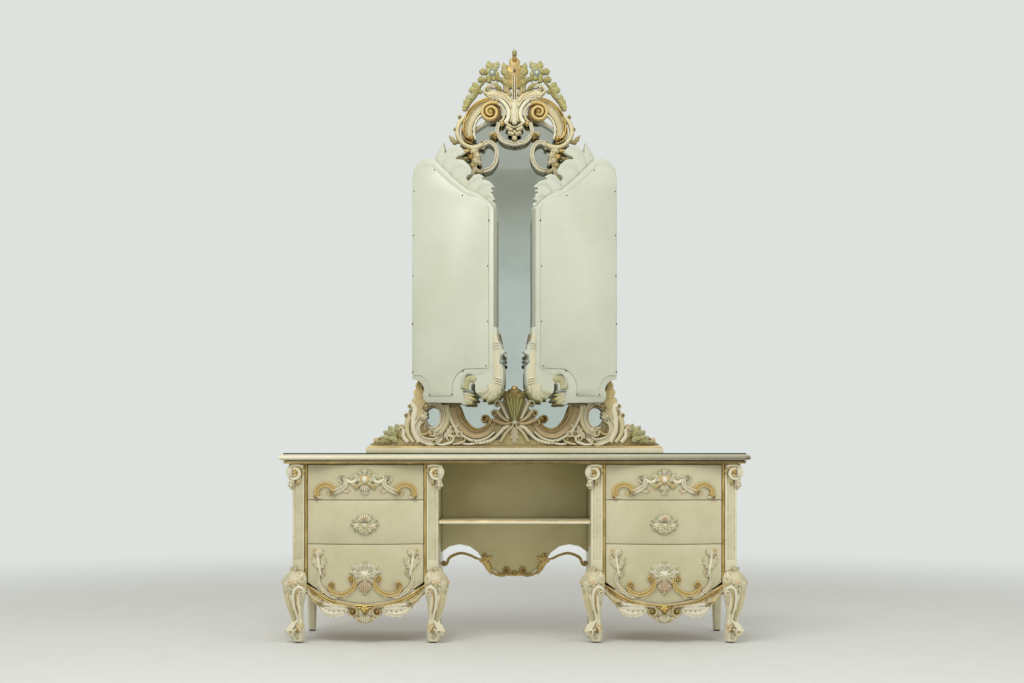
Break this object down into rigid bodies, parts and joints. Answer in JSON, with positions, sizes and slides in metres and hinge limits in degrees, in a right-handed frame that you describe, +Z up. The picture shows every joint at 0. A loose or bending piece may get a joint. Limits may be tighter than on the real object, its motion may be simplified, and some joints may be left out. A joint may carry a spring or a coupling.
{
  "type": "poudreuse dressing table",
  "caption": "Kneehole dressing table with bowed drawers, cabriole legs, a shelf and a tall carved mirror with two hinged mirror wings.",
  "frame": {"origin": "on the floor under the middle of the table top", "axes": "+X to the right seen from the front, +Y from the drawer fronts to the back, +Z up"},
  "size_m": [1.875, 0.52, 2.472],
  "materials": {
    "ivory_paint": "aged ivory paint with umber glaze and gilt edges",
    "gilt_carving": "carved and gilded, tinted with green, pink and ivory",
    "off_white_paint": "plain off-white paint",
    "plain_wood": "unpainted",
    "clear_glass": "clear, polished edge",
    "mirror_glass": "silvered",
    "aged_brass": "aged",
    "black_pad": "matt"
  },
  "bodies": {
    "table": {"case_backs": "plain_wood", "case_floors_and_rails": "plain_wood", "drawer_runners": "plain_wood", "foot_pads": "black_pad", "front_posts": "ivory_paint", "gilt_beads": "gilt_carving", "glass_top": "clear_glass", "hinge_fixed_leaves": "aged_brass", "kneehole_back": "ivory_paint", "kneehole_scroll_trim": "gilt_carving", "kneehole_shelf": "ivory_paint", "left_apron": "ivory_paint", "left_inner_leg": "ivory_paint", "left_outer_leg": "ivory_paint", "left_side_inner": "ivory_paint", "left_side_outer": "ivory_paint", "mirror_backboard": "plain_wood", "mirror_base_carving": "ivory_paint", "mirror_crest": "ivory_paint", "mirror_frame": "ivory_paint", "mirror_glass": "mirror_glass", "mirror_plinth": "ivory_paint", "mirror_struts": "plain_wood", "post_capitals": "ivory_paint", "rear_legs": "ivory_paint", "right_apron": "ivory_paint", "right_inner_leg": "ivory_paint", "right_outer_leg": "ivory_paint", "right_side_inner": "ivory_paint", "right_side_outer": "ivory_paint", "table_top": "ivory_paint", "top_edge_moulding": "ivory_paint"},
    "left_top_drawer": {"left_top_drawer_front": "ivory_paint", "left_top_drawer_box": "plain_wood", "left_top_drawer_handle": "gilt_carving"},
    "left_middle_drawer": {"left_middle_drawer_front": "ivory_paint", "left_middle_drawer_box": "plain_wood", "left_middle_drawer_handle": "gilt_carving"},
    "left_bottom_drawer": {"left_bottom_drawer_front": "ivory_paint", "left_bottom_drawer_box": "plain_wood", "left_bottom_drawer_handle": "gilt_carving"},
    "left_wing": {"left_wing_frame": "off_white_paint", "left_wing_glass": "mirror_glass", "left_wing_back": "off_white_paint", "left_wing_carving": "ivory_paint", "left_wing_hinge_leaves": "aged_brass"},
    "right_top_drawer": {"right_top_drawer_front": "ivory_paint", "right_top_drawer_box": "plain_wood", "right_top_drawer_handle": "gilt_carving"},
    "right_middle_drawer": {"right_middle_drawer_front": "ivory_paint", "right_middle_drawer_box": "plain_wood", "right_middle_drawer_handle": "gilt_carving"},
    "right_bottom_drawer": {"right_bottom_drawer_front": "ivory_paint", "right_bottom_drawer_box": "plain_wood", "right_bottom_drawer_handle": "gilt_carving"},
    "right_wing": {"right_wing_frame": "off_white_paint", "right_wing_glass": "mirror_glass", "right_wing_back": "off_white_paint", "right_wing_carving": "ivory_paint", "right_wing_hinge_leaves": "aged_brass"}
  },
  "joints": [
    {"name": "left_top_drawer_slide", "type": "slide", "parent": "table", "child": "left_top_drawer", "axis": [0, -1, 0], "range_m": [0, 0.33]},
    {"name": "left_middle_drawer_slide", "type": "slide", "parent": "table", "child": "left_middle_drawer", "axis": [0, -1, 0], "range_m": [0, 0.33]},
    {"name": "left_bottom_drawer_slide", "type": "slide", "parent": "table", "child": "left_bottom_drawer", "axis": [0, -1, 0], "range_m": [0, 0.33]},
    {"name": "left_wing_hinge", "type": "hinge", "parent": "table", "child": "left_wing", "pos_m": [-0.4165, 0.162, 1.48], "axis": [0, 0, -1], "range_deg": [0, 150]},
    {"name": "right_top_drawer_slide", "type": "slide", "parent": "table", "child": "right_top_drawer", "axis": [0, -1, 0], "range_m": [0, 0.33]},
    {"name": "right_middle_drawer_slide", "type": "slide", "parent": "table", "child": "right_middle_drawer", "axis": [0, -1, 0], "range_m": [0, 0.33]},
    {"name": "right_bottom_drawer_slide", "type": "slide", "parent": "table", "child": "right_bottom_drawer", "axis": [0, -1, 0], "range_m": [0, 0.33]},
    {"name": "right_wing_hinge", "type": "hinge", "parent": "table", "child": "right_wing", "pos_m": [0.4165, 0.162, 1.48], "axis": [0, 0, 1], "range_deg": [0, 150]}
  ]
}
